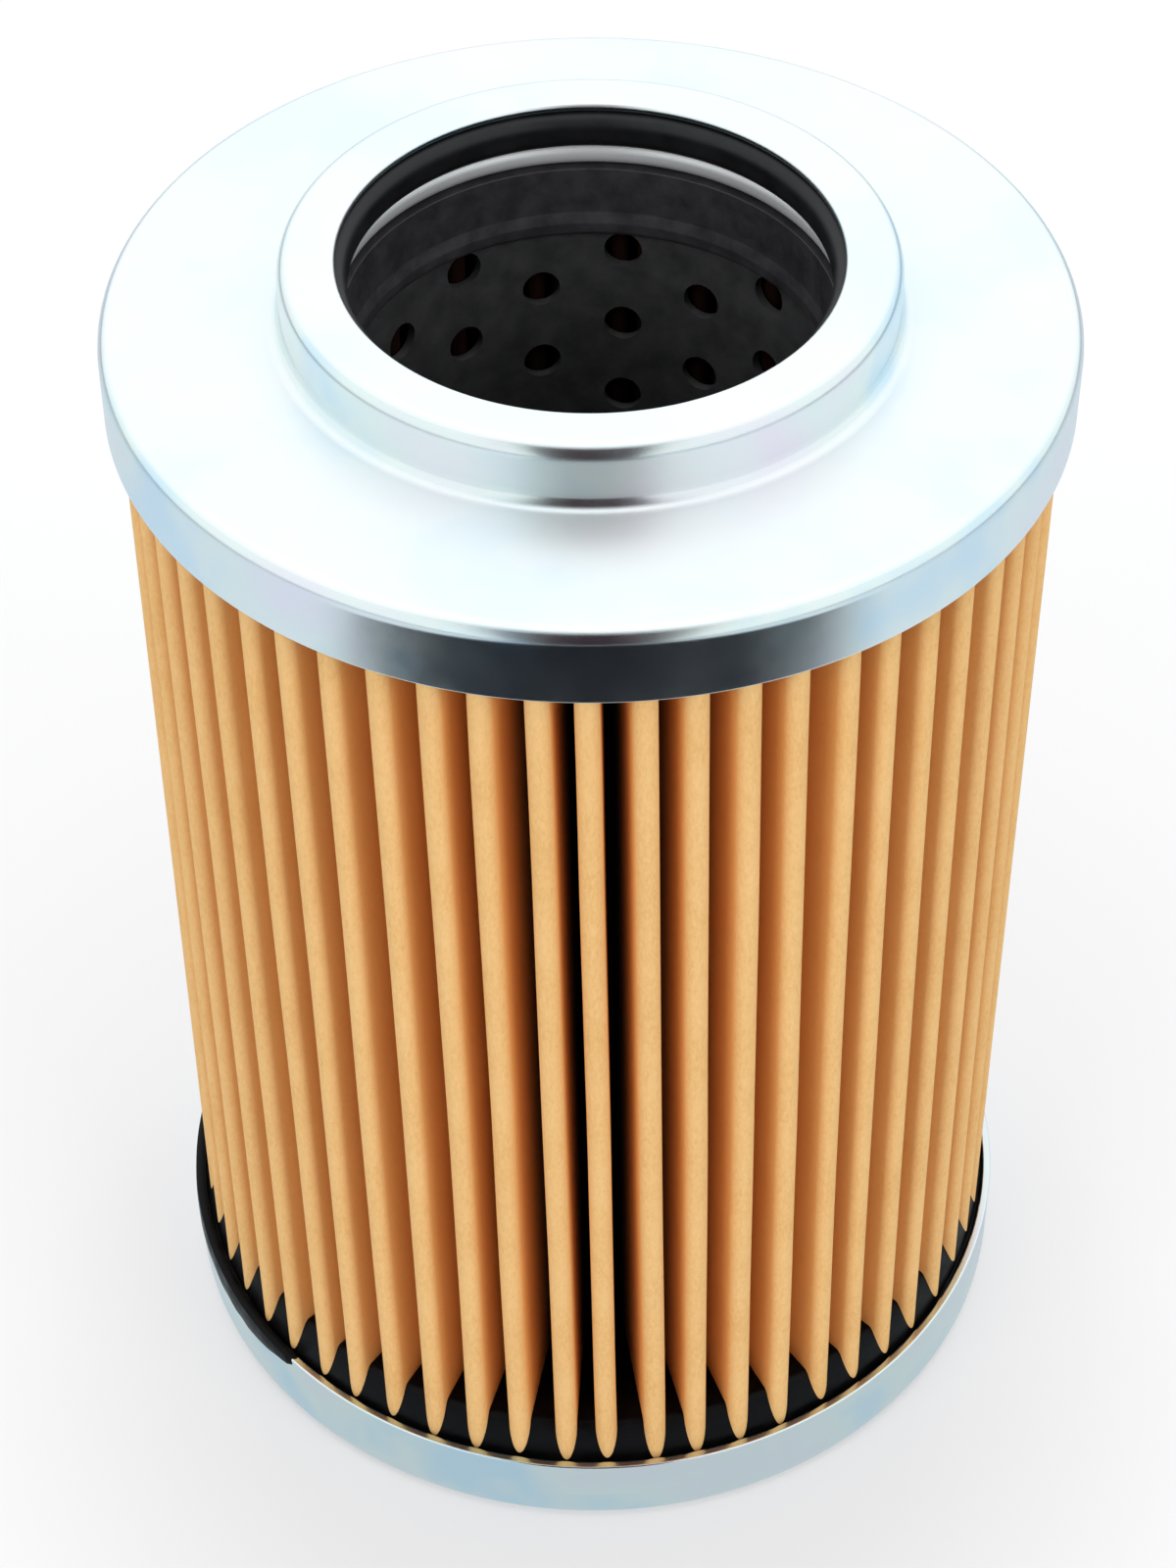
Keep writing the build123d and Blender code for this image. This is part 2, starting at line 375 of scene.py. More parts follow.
def makeTopCap():
    c = pressedCaps
    outer, channel = topHigh.x / mm, topGlueHigh.x / mm
    end, top = topLow.z / mm, topHigh.z / mm
    underside = topGlueHigh.z / mm
    flat, lipUnder = underside + capSheet, top - capSheet
    inside = c["collarRadius"] - capSheet
    outline = roundedOutline([
        (outer, end, c["rimRound"]), (outer, flat, c["bend"]),
        (c["collarRadius"], flat, c["collarRoot"]), (c["collarRadius"], top, c["collarBend"]),
        (c["lipRadius"], top, c["lipRound"]), (c["lipRadius"] + c["lipTaper"], lipUnder, c["lipRound"]),
        (inside, lipUnder, c["collarBend"] - capSheet), (inside, underside, c["collarRoot"] + capSheet),
        (channel, underside, c["bend"] - capSheet), (channel, end, c["rimRound"])])
    form = latheForm(outline, c["steps"], pressedRelief)
    return settle(meshObject("dressedTopCap", form, zincPlatedSteel), "zinc_plate", "top_cap")


def makeBottomCap():
    c = pressedCaps
    outer, channel, rim = bottomHigh.x / mm, bottomGlueHigh.x / mm, bottomHigh.z / mm
    outline = roundedOutline([
        (0, 0, 0), (outer, 0, c["bend"]), (outer, rim, c["rimRound"]),
        (channel, rim, c["rimRound"]), (channel, capSheet, c["bend"] - capSheet), (0, capSheet, 0)])
    form = latheForm(outline, c["steps"], pressedRelief)
    return settle(meshObject("dressedBottomCap", form, zincPlatedSteel), "zinc_plate", "bottom_cap")


# Seal: a rounded rubber ring with a short straight land, and the curled ring under it, in mm
sealSizes = {"bore": 19.6, "land": 1.0, "corner": 0.3, "noseSteps": 12, "steps": 192}
retainerSizes = {"sheet": 0.7, "curl": 1.1, "bore": 20.45, "chamfer": 0.1, "curlSteps": 20, "steps": 192}


def makeSealRing():
    c = sealSizes
    low, top, outer = sealLow.z / mm, sealHigh.z / mm, sealHigh.x / mm
    nose = (top - low - c["land"]) / 2
    outline = roundedOutline([
        (outer, low, c["corner"]), (outer, top, c["corner"]),
        (c["bore"], top, nose), (c["bore"], low, nose)], arcSteps=c["noseSteps"])
    form = latheForm(outline, c["steps"])
    return settle(meshObject("dressedSealRing", form, mouldedNitrileRubber), "seal_rubber", "seal_ring")


def makeSealRetainer():
    c = retainerSizes
    rim, flange = retainerHigh.x / mm, retainerHigh.z / mm
    centre = Vector((c["bore"] + c["curl"], flange - c["curl"]))
    turns = [pi / 2 + pi * step / c["curlSteps"] for step in range(c["curlSteps"] + 1)]
    outer = [centre + Vector((cos(turn), sin(turn))) * c["curl"] for turn in turns]
    inner = [centre + Vector((cos(turn), sin(turn))) * (c["curl"] - c["sheet"]) for turn in turns]
    under, cut = flange - c["sheet"], c["chamfer"]
    outline = outer + inner[::-1] + [Vector(corner) for corner in (
        (rim - cut, under), (rim, under + cut), (rim, flange - cut), (rim - cut, flange))]
    ring = meshObject("dressedSealRetainer", latheForm(outline, c["steps"]), polishedZincStrip)
    return settle(ring, "retainer_plate", "seal_retainer")


makeTopCap()
makeBottomCap()
makeSealRing()
makeSealRetainer()


def newGeometryTree(name, sizes):
    # One named input for each size; the identifiers are what a modifier needs to set them
    tree = bpy.data.node_groups.new(name, "GeometryNodeTree")
    tree.interface.new_socket("Geometry", in_out="INPUT", socket_type="NodeSocketGeometry")
    tree.interface.new_socket("Geometry", in_out="OUTPUT", socket_type="NodeSocketGeometry")
    kinds = {int: "NodeSocketInt", float: "NodeSocketFloat", bpy.types.Material: "NodeSocketMaterial"}
    identifiers = {
        label: tree.interface.new_socket(label, in_out="INPUT", socket_type=kinds[type(value)]).identifier
        for label, value in sizes.items()}
    return tree, addNode(tree, "NodeGroupInput"), identifiers


def evaluatedMesh(piece):
    graph = bpy.context.evaluated_depsgraph_get()
    made = bpy.data.meshes.new_from_object(piece.evaluated_get(graph))
    piece.modifiers.clear()
    piece.data = made
    return made


def grow(piece, tree, identifiers, sizes):
    modifier = piece.modifiers.new(tree.name, "NODES")
    modifier.node_group = tree
    for label, value in sizes.items():
        modifier[identifiers[label]] = value
    piece.update_tag()
    return evaluatedMesh(piece)


def thicken(piece, thickness, offset):
    wall = piece.modifiers.new("wall", "SOLIDIFY")
    wall.thickness = thickness
    wall.offset = offset
    wall.use_even_offset = True
    return evaluatedMesh(piece)


# Perforated core, made as a flat punched sheet and then rolled. Every other column of holes
# stands half a pitch lower
coreSizes = {
    "Columns": 18, "Rows": 12, "Pitch": 7.9 * mm, "First hole": coreHigh.z - 7.6 * mm,
    "Radius": coreHigh.x, "Turn": radians(82), "Bottom": coreLow.z, "Top": coreHigh.z,
    "Material": blackPhosphatedSteel,
}
# Thickness and hole are in mm; the rings of a cell lie at these shares of the way from hole to edge
coreSheet = {"thickness": 0.8, "hole": 3.5, "rings": (0.0, 0.4, 1.0), "weld": 0.03}


def makePunchedCell():
    # One flat piece of sheet round one hole, standing in X and Z and facing -Y
    wide, tall = 2 * pi * coreSizes["Radius"] / coreSizes["Columns"], coreSizes["Pitch"]
    sixths = [k / 6 for k in range(6)]
    edge = [(0.5, k / 6) for k in range(3)] + [(0.5 - k, 0.5) for k in sixths]
    edge += [(-0.5, 0.5 - k) for k in sixths] + [(-0.5 + k, -0.5) for k in sixths]
    edge += [(0.5, -0.5 + k / 6) for k in range(3)]
    form = bmesh.new()
    rings = []
    for share in coreSheet["rings"]:
        ring = []
        for k, (x, z) in enumerate(edge):
            turn = 2 * pi * k / len(edge)
            hole = Vector((cos(turn), 0, sin(turn))) * coreSheet["hole"] / 2 * mm
            ring.append(form.verts.new(hole.lerp(Vector((x * wide, 0, z * tall)), share)))
        rings.append(ring)
    for inner, outer in zip(rings, rings[1:]):
        for k in range(len(edge)):
            after = (k + 1) % len(edge)
            form.faces.new([inner[k], outer[k], outer[after], inner[after]])
    bmesh.ops.recalc_face_normals(form, faces=form.faces)
    form.normal_update()
    if sum(face.normal.y for face in form.faces) > 0:
        bmesh.ops.reverse_faces(form, faces=form.faces)
    return form


def makeCoreTree():
    tree, given, identifiers = newGeometryTree("punchedAndRolledSheet", coreSizes)
    known = {label: given.outputs[label] for label in coreSizes}
    known["index"] = addNode(tree, "GeometryNodeInputIndex").outputs["Index"]
    flat = addNode(tree, "ShaderNodeSeparateXYZ", {
        "Vector": addNode(tree, "GeometryNodeInputPosition").outputs["Position"]})
    known["along"] = flat.outputs["X"]
    # Each sum has a name, an operation and its terms: numbers, sizes or sums above it
    for name, operation, *terms in (
            # one cell of the sheet, and the last row of holes
            ("girth", "MULTIPLY", "Radius", 2 * pi), ("wide", "DIVIDE", "girth", "Columns"),
            ("halfPitch", "MULTIPLY", "Pitch", 0.5), ("quarterPitch", "MULTIPLY", "Pitch", 0.25),
            ("lastRow", "SUBTRACT", "Rows", 1.0), ("depth", "MULTIPLY", "Pitch", "lastRow"),
            ("lastHole", "SUBTRACT", "First hole", "depth"),
            # holes, counted along the rows; the odd columns have none in the last row
            ("cells", "MULTIPLY", "Columns", "Rows"), ("column", "MODULO", "index", "Columns"),
            ("rowShare", "DIVIDE", "index", "Columns"), ("row", "FLOOR", "rowShare"),
            ("odd", "MODULO", "column", 2.0), ("oddDrop", "MULTIPLY", "odd", "halfPitch"),
            ("rowDrop", "MULTIPLY", "row", "Pitch"), ("drop", "ADD", "rowDrop", "oddDrop"),
            ("holeX", "MULTIPLY", "column", "wide"), ("holeZ", "SUBTRACT", "First hole", "drop"),
            ("inLastRow", "COMPARE", "row", "lastRow", 0.5), ("missing", "MULTIPLY", "odd", "inLastRow"),
            ("kept", "SUBTRACT", 1.0, "missing"),
            # plain half cells at both ends of the odd columns
            ("atTop", "MODULO", "index", 2.0), ("pairShare", "DIVIDE", "index", 2.0),
            ("pair", "FLOOR", "pairShare"), ("evenColumn", "MULTIPLY", "pair", 2.0),
            ("oddColumn", "ADD", "evenColumn", 1.0), ("halfX", "MULTIPLY", "oddColumn", "wide"),
            ("highHalf", "ADD", "First hole", "quarterPitch"),
            ("lowHalf", "SUBTRACT", "lastHole", "quarterPitch"),
            ("halfGap", "SUBTRACT", "highHalf", "lowHalf"), ("halfRise", "MULTIPLY", "atTop", "halfGap"),
            ("halfZ", "ADD", "lowHalf", "halfRise"),
            # a plain band along either edge of the sheet
            ("bandCount", "MULTIPLY", "Columns", 2.0), ("bandX", "MULTIPLY", "pair", "wide"),
            ("highEdge", "ADD", "First hole", "halfPitch"), ("lowEdge", "SUBTRACT", "lastHole", "halfPitch"),
            ("highSum", "ADD", "highEdge", "Top"), ("highMiddle", "MULTIPLY", "highSum", 0.5),
            ("lowSum", "ADD", "lowEdge", "Bottom"), ("lowMiddle", "MULTIPLY", "lowSum", 0.5),
            ("bandGap", "SUBTRACT", "highMiddle", "lowMiddle"), ("bandRise", "MULTIPLY", "atTop", "bandGap"),
            ("bandZ", "ADD", "lowMiddle", "bandRise"), ("highTall", "SUBTRACT", "Top", "highEdge"),
            ("lowTall", "SUBTRACT", "lowEdge", "Bottom"), ("taller", "SUBTRACT", "highTall", "lowTall"),
            ("tallRise", "MULTIPLY", "atTop", "taller"), ("tall", "ADD", "lowTall", "tallRise"),
            ("stretch", "DIVIDE", "tall", "halfPitch"),
            # rolling, which makes the length along the sheet an angle
            ("rolledBy", "DIVIDE", "along", "Radius"), ("angle", "ADD", "rolledBy", "Turn"),
            ("cosine", "COSINE", "angle"), ("tubeX", "MULTIPLY", "cosine", "Radius"),
            ("sine", "SINE", "angle"), ("tubeY", "MULTIPLY", "sine", "Radius")):
        known[name] = addNode(tree, "ShaderNodeMath", {
            k: known.get(term, term) for k, term in enumerate(terms)}, operation=operation).outputs["Value"]

    # A half cell or band has as many points along its sides as a cell has
    blank = addNode(tree, "GeometryNodeMeshGrid", {
        "Size X": known["wide"], "Size Y": known["halfPitch"], "Vertices X": 7, "Vertices Y": 4})
    stood = addNode(tree, "GeometryNodeTransform", {
        "Geometry": blank.outputs["Mesh"], "Rotation": (pi / 2, 0.0, 0.0)}).outputs["Geometry"]
    bandScale = addNode(tree, "ShaderNodeCombineXYZ", {"X": 1.0, "Y": 1.0, "Z": known["stretch"]})
    joined = addNode(tree, "GeometryNodeJoinGeometry")
    for count, x, z, more in (
            ("cells", "holeX", "holeZ", {"Instance": given.outputs["Geometry"], "Selection": known["kept"]}),
            ("Columns", "halfX", "halfZ", {"Instance": stood}),
            ("bandCount", "bandX", "bandZ", {"Instance": stood, "Scale": bandScale.outputs["Vector"]})):
        line = addNode(tree, "GeometryNodeMeshLine", {"Count": known[count], "Offset": (0.0, 0.0, 0.0)})
        spot = addNode(tree, "ShaderNodeCombineXYZ", {"X": known[x], "Z": known[z]})
        spread = addNode(tree, "GeometryNodeSetPosition", {
            "Geometry": line.outputs["Mesh"], "Position": spot.outputs["Vector"]})
        cells = addNode(tree, "GeometryNodeInstanceOnPoints", {"Points": spread.outputs["Geometry"], **more})
        tree.links.new(cells.outputs["Instances"], joined.inputs["Geometry"])
    real = addNode(tree, "GeometryNodeRealizeInstances", {"Geometry": joined.outputs["Geometry"]})

    rolled = addNode(tree, "ShaderNodeCombineXYZ", {
        "X": known["tubeX"], "Y": known["tubeY"], "Z": flat.outputs["Z"]})
    tube = addNode(tree, "GeometryNodeSetPosition", {
        "Geometry": real.outputs["Geometry"], "Position": rolled.outputs["Vector"]})
    welded = addNode(tree, "GeometryNodeMergeByDistance", {
        "Geometry": tube.outputs["Geometry"], "Distance": coreSheet["weld"] * mm})
    painted = addNode(tree, "GeometryNodeSetMaterial", {
        "Geometry": welded.outputs["Geometry"], "Material": known["Material"]})
    addNode(tree, "NodeGroupOutput", {"Geometry": painted.outputs["Geometry"]})
    return tree, identifiers


def makeCoreTube():
    tube = meshObject("dressedCoreTube", makePunchedCell(), blackPhosphatedSteel)
    tree, identifiers = makeCoreTree()
    grow(tube, tree, identifiers, coreSizes)
    thicken(tube, coreSheet["thickness"] * mm, -1)
    shadeSmooth(tube.data)
    return settle(tube, "core_coat", "core_tube")


makeCoreTube()


# Pleated paper: one fold of the strip, repeated round the core. Each fold leans and stands a
# little differently, and wanders slightly along its height. Lengths are in mm; "spread" sets
# how much the wander differs from fold to fold
foldSizes = {
    "thickness": 0.65, "tipBend": 1.0, "rootBend": 0.85, "coreGap": 0.3, "capGap": 0.3,
    "rows": 16, "tipSteps": 8, "rootSteps": 5, "legSteps": 5, "weld": 0.01,
    "wanderLength": 45, "spread": 40.0, "sharpAngle": 50,
}
tipReach = topGlueHigh.x / mm - foldSizes["capGap"]
pleatSizes = {
    "Pleats": 57, "First fold": radians(-0.75), "Twist": radians(2.7),
    "Low": mediaLow.z, "High": mediaHigh.z, "Root radius": 22.0 * mm, "Tip radius": tipReach * mm,
    "Lean": 0.22 * mm, "Depth": 0.2 * mm, "Wander": 0.4 * mm, "Seed": 11, "Material": filterPaper,
}


def makeOneFold():
    # Middle line of the paper from root to root, drawn at every row from its foot to its head
    c = foldSizes
    half = c["thickness"] / 2
    tipBend, rootBend = c["tipBend"] - half, c["rootBend"] - half
    step = 2 * pi / pleatSizes["Pleats"]
    tipCentre = Vector((tipReach - c["tipBend"], 0))
    rootReach = coreHigh.x / mm + c["coreGap"] + c["rootBend"]
    rootCentre = Vector((cos(step / 2), sin(step / 2))) * rootReach
    way = rootCentre - tipCentre
    square = atan2(way.y, way.x) - acos((tipBend + rootBend) / way.length)
    line = [tipCentre + Vector((cos(square * k / c["tipSteps"]), sin(square * k / c["tipSteps"]))) * tipBend
            for k in range(c["tipSteps"] + 1)]
    legEnd = rootCentre + Vector((cos(square + pi), sin(square + pi))) * rootBend
    line += [line[-1].lerp(legEnd, k / c["legSteps"]) for k in range(1, c["legSteps"])]
    facing, opening = step / 2 + pi, step / 2 - square
    for k in range(c["rootSteps"] + 1):
        turn = facing - opening * (1 - k / c["rootSteps"])
        line.append(rootCentre + Vector((cos(turn), sin(turn))) * rootBend)
    whole = [Vector((p.x, -p.y)) for p in line[:0:-1]] + line
    form = bmesh.new()
    rows = []
    for row in range(c["rows"] + 1):
        height = mediaLow.z + (mediaHigh.z - mediaLow.z) * row / c["rows"]
        rows.append([form.verts.new((p.x * mm, p.y * mm, height)) for p in whole])
    for low, high in zip(rows, rows[1:]):
        for k in range(len(whole) - 1):
            form.faces.new([low[k], low[k + 1], high[k + 1], high[k]])
    return form


def makePleatTree():
    tree, given, identifiers = newGeometryTree("foldedStrip", pleatSizes)
    known = {label: given.outputs[label] for label in pleatSizes}
    index = addNode(tree, "GeometryNodeInputIndex").outputs["Index"]
    line = addNode(tree, "GeometryNodeMeshLine", {"Count": known["Pleats"], "Offset": (0.0, 0.0, 0.0)})
    whole = addNode(tree, "ShaderNodeMath", {0: index, 1: 2 * pi}, operation="MULTIPLY")
    share = addNode(tree, "ShaderNodeMath", {
        0: whole.outputs["Value"], 1: known["Pleats"]}, operation="DIVIDE")
    turned = addNode(tree, "ShaderNodeCombineXYZ", {"Z": share.outputs["Value"]})
    folds = addNode(tree, "GeometryNodeInstanceOnPoints", {
        "Points": line.outputs["Mesh"], "Instance": given.outputs["Geometry"],
        "Rotation": turned.outputs["Vector"]})
    marked = folds.outputs["Instances"]
    for k, label in enumerate(("lean", "depth")):
        seed = addNode(tree, "ShaderNodeMath", {0: known["Seed"], 1: float(k)}, operation="ADD")
        chance = addNode(tree, "FunctionNodeRandomValue", {
            2: -1.0, 3: 1.0, "Seed": seed.outputs["Value"]}, data_type="FLOAT")
        marked = addNode(tree, "GeometryNodeStoreNamedAttribute", {
            "Geometry": marked, "Name": label, "Value": chance.outputs[1]},
            data_type="FLOAT", domain="INSTANCE").outputs["Geometry"]
    real = addNode(tree, "GeometryNodeRealizeInstances", {"Geometry": marked})
    welded = addNode(tree, "GeometryNodeMergeByDistance", {
        "Geometry": real.outputs["Geometry"], "Distance": foldSizes["weld"] * mm})

    # Directions at each point of the paper, and how free it is between the root and the tip
    place = addNode(tree, "GeometryNodeInputPosition").outputs["Position"]
    across = addNode(tree, "ShaderNodeVectorMath", {0: place, 1: (1.0, 1.0, 0.0)}, operation="MULTIPLY")
    outward = addNode(tree, "ShaderNodeVectorMath", {0: across.outputs["Vector"]}, operation="NORMALIZE")
    sideways = addNode(tree, "ShaderNodeVectorMath", {
        0: (0.0, 0.0, 1.0), 1: outward.outputs["Vector"]}, operation="CROSS_PRODUCT")
    radius = addNode(tree, "ShaderNodeVectorMath", {0: across.outputs["Vector"]}, operation="LENGTH")
    loose = addNode(tree, "ShaderNodeMapRange", {
        "Value": radius.outputs["Value"], "From Min": known["Root radius"], "From Max": known["Tip radius"]})
    height = addNode(tree, "ShaderNodeSeparateXYZ", {"Vector": place})
    leaning, shortened = [
        addNode(tree, "GeometryNodeInputNamedAttribute", {"Name": label}, data_type="FLOAT")
        .outputs["Attribute"] for label in ("lean", "depth")]
    track = addNode(tree, "ShaderNodeCombineXYZ", {"X": leaning, "Y": shortened, "Z": height.outputs["Z"]})
    spread, waves = foldSizes["spread"], 1 / (foldSizes["wanderLength"] * mm)
    scaled = addNode(tree, "ShaderNodeVectorMath", {
        0: track.outputs["Vector"], 1: (spread, spread, waves)}, operation="MULTIPLY")
    wave = addNode(tree, "ShaderNodeTexNoise", {
        "Vector": scaled.outputs["Vector"], "Scale": 1.0, "Detail": 1.0})
    along = addNode(tree, "ShaderNodeMapRange", {
        "Value": height.outputs["Z"], "From Min": known["Low"], "From Max": known["High"],
        "To Min": 0.5, "To Max": -0.5})
    known.update(leaning=leaning, shortened=shortened, loose=loose.outputs["Result"],
                 wave=wave.outputs["Fac"], along=along.outputs["Result"])
    # Each sum has a name, an operation and its terms: numbers, sizes or sums above it
    for name, operation, *terms in (
            ("swerve", "SUBTRACT", "wave", 0.5), ("wandered", "MULTIPLY", "swerve", "Wander"),
            ("leaned", "MULTIPLY", "leaning", "Lean"), ("off", "ADD", "leaned", "wandered"),
            ("side", "MULTIPLY", "off", "loose"),
            ("shorter", "SUBTRACT", "shortened", 1.0), ("fallen", "MULTIPLY", "shorter", "Depth"),
            ("halfLoose", "MULTIPLY", "loose", 0.5), ("inward", "MULTIPLY", "fallen", "halfLoose"),
            ("twisted", "MULTIPLY", "along", "Twist"), ("swing", "ADD", "twisted", "First fold")):
        known[name] = addNode(tree, "ShaderNodeMath", {
            k: known.get(term, term) for k, term in enumerate(terms)}, operation=operation).outputs["Value"]

    sideShift = addNode(tree, "ShaderNodeVectorMath", {
        0: sideways.outputs["Vector"], "Scale": known["side"]}, operation="SCALE")
    inwardShift = addNode(tree, "ShaderNodeVectorMath", {
        0: outward.outputs["Vector"], "Scale": known["inward"]}, operation="SCALE")
    shift = addNode(tree, "ShaderNodeVectorMath", {
        0: sideShift.outputs["Vector"], 1: inwardShift.outputs["Vector"]}, operation="ADD")
    moved = addNode(tree, "GeometryNodeSetPosition", {
        "Geometry": welded.outputs["Geometry"], "Offset": shift.outputs["Vector"]})

    # The whole pack sits slightly twisted between its caps
    spun = addNode(tree, "ShaderNodeVectorRotate", {
        "Vector": place, "Angle": known["swing"]}, rotation_type="Z_AXIS")
    turnedPack = addNode(tree, "GeometryNodeSetPosition", {
        "Geometry": moved.outputs["Geometry"], "Position": spun.outputs["Vector"]})
    painted = addNode(tree, "GeometryNodeSetMaterial", {
        "Geometry": turnedPack.outputs["Geometry"], "Material": known["Material"]})
    addNode(tree, "NodeGroupOutput", {"Geometry": painted.outputs["Geometry"]})
    return tree, identifiers


def makePleatedPaper():
    paper = meshObject("dressedPleatedPaper", makeOneFold(), filterPaper)
    tree, identifiers = makePleatTree()
    grow(paper, tree, identifiers, pleatSizes)
    thicken(paper, foldSizes["thickness"] * mm, 0)
    for label in ("lean", "depth"):
        if label in paper.data.attributes:
            paper.data.attributes.remove(paper.data.attributes[label])
    shadeSmooth(paper.data, foldSizes["sharpAngle"])
    return settle(paper, "media_paper", "filter_media")


makePleatedPaper()


# Adhesive in the lower cap, in mm. It stands a little higher at the sides and the back than at
# the front, and climbs the paper in a steep fillet, so that only the outermost line of each
# fold reaches down to the rim. Corners of its edge are (mm inside the cap's wall, share of the
# way up from under the rim to the level)
pourSizes = {
    "frontLevel": 6.8, "backRise": 0.9, "backSpread": 1.1, "steps": 372,
    "ragged": 0.35, "frontRagged": 0.35, "coarse": 9, "fine": 27,
    "edge": [(0.3, 1.0), (0.25, 0.9), (0.12, 0.55), (0.0, 0.0)], "underRim": 0.45,
    "climb": 4.8, "reach": 1.7, "climbSteps": 14,
    "coreFloor": 10.0, "coreFillet": 0.7, "coreFilletWide": 2.2, "coreFlatEnd": 2.4, "coreSteps": 6,
    "footRound": 0.5,
}

# At one side the adhesive has run over the rim of the cap and a little way down its skirt.
# Each corner of that lap is (mm past the wall, mm above the rim, share of the run downwards).
# "cover" is how much sooner it covers the rim than it runs down. Where there is no lap, its
# corners lie under the rim, "stacked" mm apart
lapSizes = {
    "from": radians(156), "to": radians(228), "fade": 2.2, "ragged": 0.16, "raggedScale": 22, "run": 2.1,
    "cover": 4, "stacked": 0.02,
    "corners": [
        (0.05, 0.16, 0), (0.3, 0.22, 0), (0.65, 0.2, 0), (0.92, 0.0, 0), (1.0, -0.3, 0.3),
        (0.98, -0.4, 0.85), (0.8, -0.45, 1.0), (0.4, -0.4, 0.8), (0.3, -0.3, 0)],
}


def pourLevel(turn):
    c = pourSizes
    away = min(max((1 + sin(turn)) * c["backSpread"], 0), 1)
    coarse = noise.noise(Vector((cos(turn), sin(turn), 0.3)) * c["coarse"])
    fine = noise.noise(Vector((cos(turn), sin(turn), 1.7)) * c["fine"])
    ragged = c["ragged"] * (coarse + 0.5 * fine) * (c["frontRagged"] + (1 - c["frontRagged"]) * away)
    return c["frontLevel"] + c["backRise"] * away * away * (3 - 2 * away) + ragged


def lapShare(turn):
    c = lapSizes
    along = (turn % (2 * pi) - c["from"]) / (c["to"] - c["from"])
    if along <= 0 or along >= 1:
        return 0.0
    inward = min(c["fade"] * 2 * min(along, 1 - along), 1)
    ragged = c["ragged"] * noise.noise(Vector((cos(turn), sin(turn), 2.1)) * c["raggedScale"])
    return inward * inward * (3 - 2 * inward) * (1 + ragged)


def makeBottomPotting():
    c = pourSizes
    wall, low = bottomGlueHigh.x / mm, bottomHigh.z / mm - c["underRim"]
    outside = coreHigh.x / mm
    inside = outside - coreSheet["thickness"]
    climbFoot = wall - c["edge"][0][0]
    # Stations of the outline from the axis outwards and down: (radius, height, kind, share).
    # Only the points on the wall and the axis keep the height that is given here
    stations = [(0, c["coreFloor"], "wall", 0), (inside - c["coreFlatEnd"], 0, "floor", 0.0)]
    wide = c["coreFilletWide"]
    for k in range(1, c["coreSteps"] + 1):
        stations.append((inside - wide + wide * k / c["coreSteps"], 0, "floor", (k / c["coreSteps"]) ** 3))
    stations.append((outside, 0, "pool", 1.0))
    for k in range(c["climbSteps"], -1, -1):
        stations.append((climbFoot - c["reach"] * k / c["climbSteps"], 0, "pool", k / c["climbSteps"]))
    stations += [(wall - inset, 0, "edge", share) for inset, share in c["edge"][1:]]
    stations += [(wall, 0, "lap", k) for k in range(len(lapSizes["corners"]))]
    foot, cut = c["footRound"], c["footRound"] * 0.3
    stations += [(wall, capSheet + foot, "wall", 0), (wall - cut, capSheet + cut, "wall", 0),
                 (wall - foot, capSheet, "wall", 0), (0, capSheet, "wall", 0)]

    def relief(k, point, turn):
        radius, height = point
        kind, share = stations[k][2:]
        if kind == "wall":
            return radius, height
        if kind == "lap":
            past, above, fall = lapSizes["corners"][share]
            amount = lapShare(turn)
            ease = min(amount * lapSizes["cover"], 1)
            hidden = low - lapSizes["stacked"] * share
            raised = bottomHigh.z / mm + above - fall * lapSizes["run"] * amount
            return wall + past * ease, hidden + (raised - hidden) * ease
        if kind == "floor":
            return radius, c["coreFloor"] + c["coreFillet"] * share
        level = pourLevel(turn)
        if kind == "edge":
            return radius, low + (level - low) * share
        ease = share * (2 - share)
        return radius, level + (c["climb"] - (level - c["frontLevel"]) * 0.5) * ease

    form = latheForm([Vector(station[:2]) for station in stations], c["steps"], relief)
    return settle(meshObject("dressedBottomPotting", form, floodedPotting), "potting", "bottom_potting")


# Adhesive under the upper cap, in mm. It lines the neck and backs the retainer, and its
# underside, "below" mm above the neck's end, is slightly rippled
neckSizes = {
    "bore": 20.2, "bead": 19.85, "land": 0.8, "round": 0.5, "taper": 1.0, "below": 1.1, "foot": 0.4,
    "ripple": 0.12, "ripplesPerMm": 0.4, "steps": 240,
}


def makeTopPotting():
    c = neckSizes
    wall, outside = topGlueHigh.x / mm, coreHigh.x / mm
    under, top = topGlueLow.z / mm, topGlueHigh.z / mm
    fill = under + c["below"]
    landEnd = under + c["round"] + c["land"]
    outline = roundedOutline([
        (wall, fill, 0), (wall, top, 0.5), (c["bore"], top, 0.1), (c["bore"], landEnd + c["taper"], 0.3),
        (c["bead"], landEnd, 0.2), (c["bead"], under, c["round"]), (outside, under, 0.2),
        (outside + c["foot"], fill, 0)], arcSteps=5)

    def relief(k, point, turn):
        radius, height = point
        if abs(height - fill) > 0.2 or radius < outside + 1:  # not on the open underside
            return radius, height
        spot = Vector((cos(turn) * radius, sin(turn) * radius, 0))
        return radius, height + c["ripple"] * noise.noise(spot * c["ripplesPerMm"])

    form = latheForm(outline, c["steps"], relief)
    return settle(meshObject("dressedTopPotting", form, lightenedNeckPotting), "potting", "top_potting")


makeBottomPotting()
makeTopPotting()
